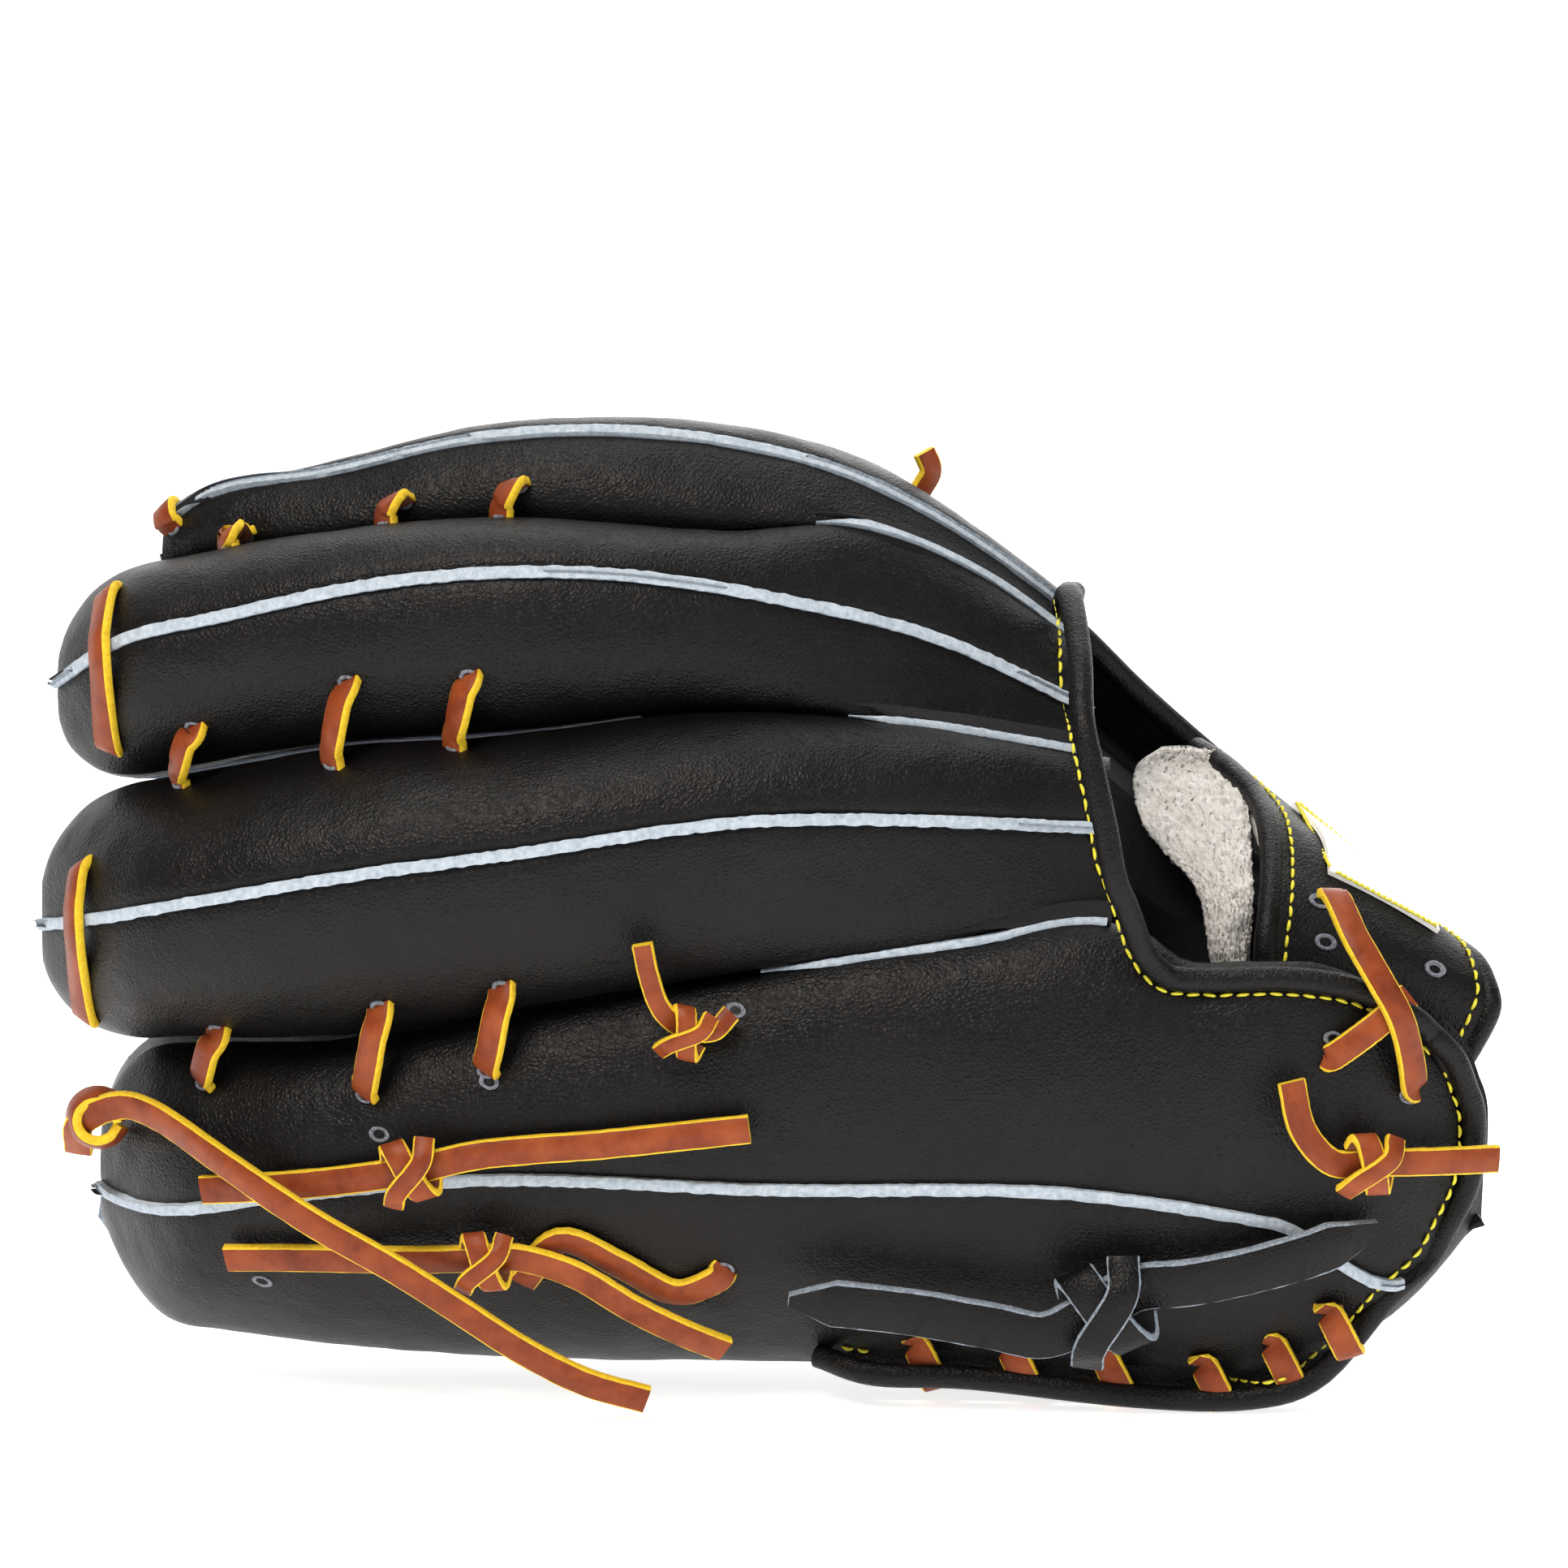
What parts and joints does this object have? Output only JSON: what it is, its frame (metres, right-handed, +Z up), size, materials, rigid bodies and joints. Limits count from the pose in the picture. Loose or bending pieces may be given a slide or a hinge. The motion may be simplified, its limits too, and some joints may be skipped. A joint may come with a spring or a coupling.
{
  "type": "baseball fielder's glove",
  "caption": "Left-hand leather fielder's glove with laced finger stalls, welted seams, H web, felt pads and a wool-lined wrist strap.",
  "frame": {"origin": "middle of the base, on the surface the glove stands on", "axes": "+X from fingertips to wrist, +Z up from the little finger to the index finger, -Y faces the back of the hand"},
  "size_m": [0.3241, 0.1763, 0.214],
  "materials": {
    "black_leather": "full-grain leather, fine pebble, soft sheen",
    "lace_leather": "waxed rawhide lace, red-brown face with yellow cut edges",
    "welt_leather": "raw-edged split leather, pale blue-grey, fuzzy",
    "thread": "bright yellow waxed thread",
    "wool": "off-white sheared sheepskin",
    "felt": "dense pressed wool felt",
    "label": "plain white woven patch with a yellow border"
  },
  "bodies": {
    "finger_side": {"crease_tie": "lace_leather", "heel_binding": "black_leather", "heel_lace_1": "lace_leather", "heel_lace_2": "lace_leather", "heel_lace_3": "lace_leather", "heel_lace_4": "lace_leather", "heel_lace_5": "lace_leather", "heel_lace_6": "lace_leather", "heel_roll": "black_leather", "index_back_lower": "black_leather", "index_back_upper": "black_leather", "index_felt": "felt", "index_tip_lace": "lace_leather", "index_welt": "welt_leather", "lace_middle_index_1": "lace_leather", "lace_middle_index_2": "lace_leather", "lace_middle_index_3": "lace_leather", "lace_pinky_ring_1": "lace_leather", "lace_pinky_ring_2": "lace_leather", "lace_pinky_ring_3": "lace_leather", "lace_ring_middle_1": "lace_leather", "lace_ring_middle_2": "lace_leather", "lace_ring_middle_3": "lace_leather", "middle_back_lower": "black_leather", "middle_back_upper": "black_leather", "middle_felt": "felt", "middle_index_welt": "welt_leather", "middle_tip_lace": "lace_leather", "middle_welt": "welt_leather", "palm_finger_side": "black_leather", "pinky_back_lower": "black_leather", "pinky_back_upper": "black_leather", "pinky_felt": "felt", "pinky_long_tail": "lace_leather", "pinky_ring_welt": "welt_leather", "pinky_strap_tie": "black_leather", "pinky_tie_lower": "lace_leather", "pinky_tie_upper": "lace_leather", "pinky_welt": "welt_leather", "rim_binding": "black_leather", "ring_back_lower": "black_leather", "ring_back_upper": "black_leather", "ring_felt": "felt", "ring_middle_welt": "welt_leather", "ring_tip_lace": "lace_leather", "ring_welt": "welt_leather", "strap_label": "label", "strap_lace_high": "lace_leather", "strap_lace_low": "lace_leather", "strap_wool": "wool", "wrist_strap": "black_leather", "wrist_tie": "lace_leather"},
    "thumb_side": {"palm_thumb_side": "black_leather", "thumb_back_lower": "black_leather", "thumb_back_upper": "black_leather", "thumb_felt": "felt", "thumb_tip_lace": "lace_leather", "thumb_welt": "welt_leather", "web": "black_leather"}
  },
  "joints": [
    {"name": "thumb_fold", "type": "hinge", "parent": "finger_side", "child": "thumb_side", "pos_m": [-0.064, 0.0053, 0.196], "axis": [0.9592, 0, -0.2827], "range_deg": [-8, 12]}
  ]
}
